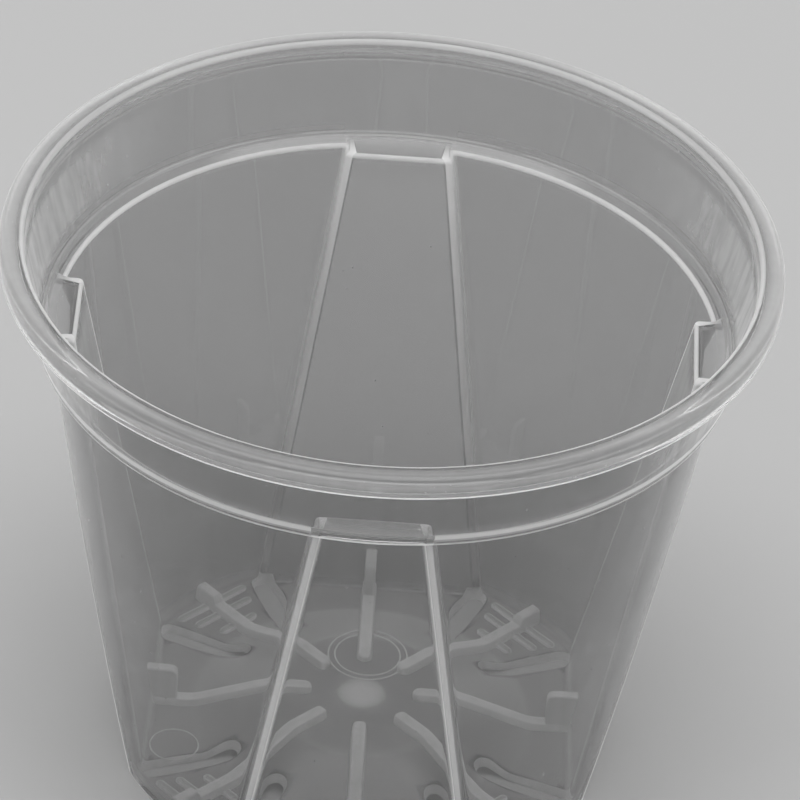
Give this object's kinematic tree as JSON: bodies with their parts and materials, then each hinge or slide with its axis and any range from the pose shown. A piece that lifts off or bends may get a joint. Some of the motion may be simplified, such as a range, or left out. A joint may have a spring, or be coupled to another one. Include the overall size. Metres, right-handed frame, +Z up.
{
  "type": "orchid pot",
  "caption": "Clear round tapered orchid pot with a thick rim, recessed flat side panels, a ribbed domed floor and drainage slots.",
  "frame": {"origin": "on the pot's axis, in the plane that it stands on", "axes": "+Z up along the pot's axis through the mouth; -Y is the side nearest the camera, so +X is the picture's right"},
  "size_m": [0.1, 0.1, 0.0775],
  "materials": {
    "clear_polypropylene": "clear with a slight milky haze, glossy as moulded, faint scuffs"
  },
  "bodies": {
    "root": {"rim_bead": "clear_polypropylene", "collar": "clear_polypropylene", "ledge": "clear_polypropylene", "panel_rear": "clear_polypropylene", "panel_left": "clear_polypropylene", "panel_front": "clear_polypropylene", "panel_right": "clear_polypropylene", "corner_wall_rear_left": "clear_polypropylene", "corner_wall_front_left": "clear_polypropylene", "corner_wall_front_right": "clear_polypropylene", "corner_wall_rear_right": "clear_polypropylene", "floor_disc": "clear_polypropylene", "floor_tongue_rear": "clear_polypropylene", "floor_tongue_left": "clear_polypropylene", "floor_tongue_front": "clear_polypropylene", "floor_tongue_right": "clear_polypropylene", "floor_corner_rear_left": "clear_polypropylene", "floor_corner_front_left": "clear_polypropylene", "floor_corner_front_right": "clear_polypropylene", "floor_corner_rear_right": "clear_polypropylene", "panel_rib_rear": "clear_polypropylene", "panel_rib_left": "clear_polypropylene", "panel_rib_front": "clear_polypropylene", "panel_rib_right": "clear_polypropylene", "corner_rib_rear_left": "clear_polypropylene", "corner_rib_front_left": "clear_polypropylene", "corner_rib_front_right": "clear_polypropylene", "corner_rib_rear_right": "clear_polypropylene", "tread_bars_rear_left": "clear_polypropylene", "tread_bars_front_left": "clear_polypropylene", "tread_bars_front_right": "clear_polypropylene", "tread_bars_rear_right": "clear_polypropylene", "gate_boss": "clear_polypropylene"}
  },
  "joints": []
}
